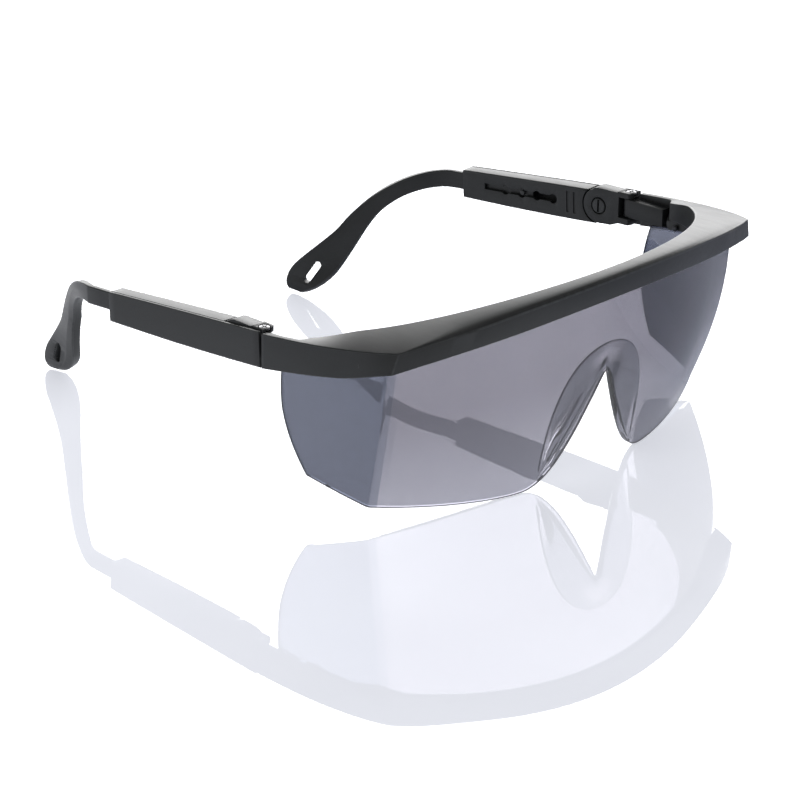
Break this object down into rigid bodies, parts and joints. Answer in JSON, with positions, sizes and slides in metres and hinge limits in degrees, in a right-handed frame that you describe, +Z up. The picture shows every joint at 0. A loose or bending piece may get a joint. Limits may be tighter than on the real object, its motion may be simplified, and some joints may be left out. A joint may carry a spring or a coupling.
{
  "type": "safety glasses",
  "caption": "Wrap-round safety glasses: smoke lens with folded side shields under a dark brow frame, temples that fold, tilt and slide.",
  "frame": {"origin": "centre of the footprint, on the surface the open glasses stand on", "axes": "+Z up, -Y the way the wearer looks, +Y along the open temples, +X to the right of a viewer who looks along +Y"},
  "size_m": [0.1518, 0.1639, 0.0577],
  "materials": {
    "black_nylon": "satin moulded nylon",
    "smoke_polycarbonate": "clear gloss, grey smoke tint",
    "dark_steel": "turned steel, slightly dulled"
  },
  "bodies": {
    "front": {"brow_frame": "black_nylon", "lens": "smoke_polycarbonate", "lens_stud_L": "dark_steel", "lens_stud_R": "dark_steel"},
    "hinge_L": {"hinge_block_L": "black_nylon", "hinge_screw_L": "dark_steel"},
    "hinge_R": {"hinge_block_R": "black_nylon", "hinge_screw_R": "dark_steel"},
    "temple_L": {"temple_casing_L": "black_nylon", "tilt_pin_L": "black_nylon"},
    "temple_R": {"temple_casing_R": "black_nylon", "tilt_pin_R": "black_nylon"},
    "tip_L": {"temple_tip_L": "black_nylon"},
    "tip_R": {"temple_tip_R": "black_nylon"}
  },
  "joints": [
    {"name": "fold_L", "type": "hinge", "parent": "front", "child": "hinge_L", "pos_m": [-0.07265, -0.024, 0.0412], "axis": [0, 0, 1], "range_deg": [-85, 0]},
    {"name": "fold_R", "type": "hinge", "parent": "front", "child": "hinge_R", "pos_m": [0.07265, -0.024, 0.0412], "axis": [0, 0, 1], "range_deg": [0, 85]},
    {"name": "tilt_L", "type": "hinge", "parent": "hinge_L", "child": "temple_L", "pos_m": [-0.0723, -0.0152, 0.0412], "axis": [0.9973, -0.0741, 0], "range_deg": [-5, 5]},
    {"name": "tilt_R", "type": "hinge", "parent": "hinge_R", "child": "temple_R", "pos_m": [0.0723, -0.0152, 0.0412], "axis": [0.9973, 0.0741, 0], "range_deg": [-5, 5]},
    {"name": "extend_L", "type": "slide", "parent": "temple_L", "child": "tip_L", "axis": [0.074, 0.9951, -0.0654], "range_m": [-0.0107, 0]},
    {"name": "extend_R", "type": "slide", "parent": "temple_R", "child": "tip_R", "axis": [-0.074, 0.9951, -0.0654], "range_m": [-0.0051, 0.0056]}
  ]
}
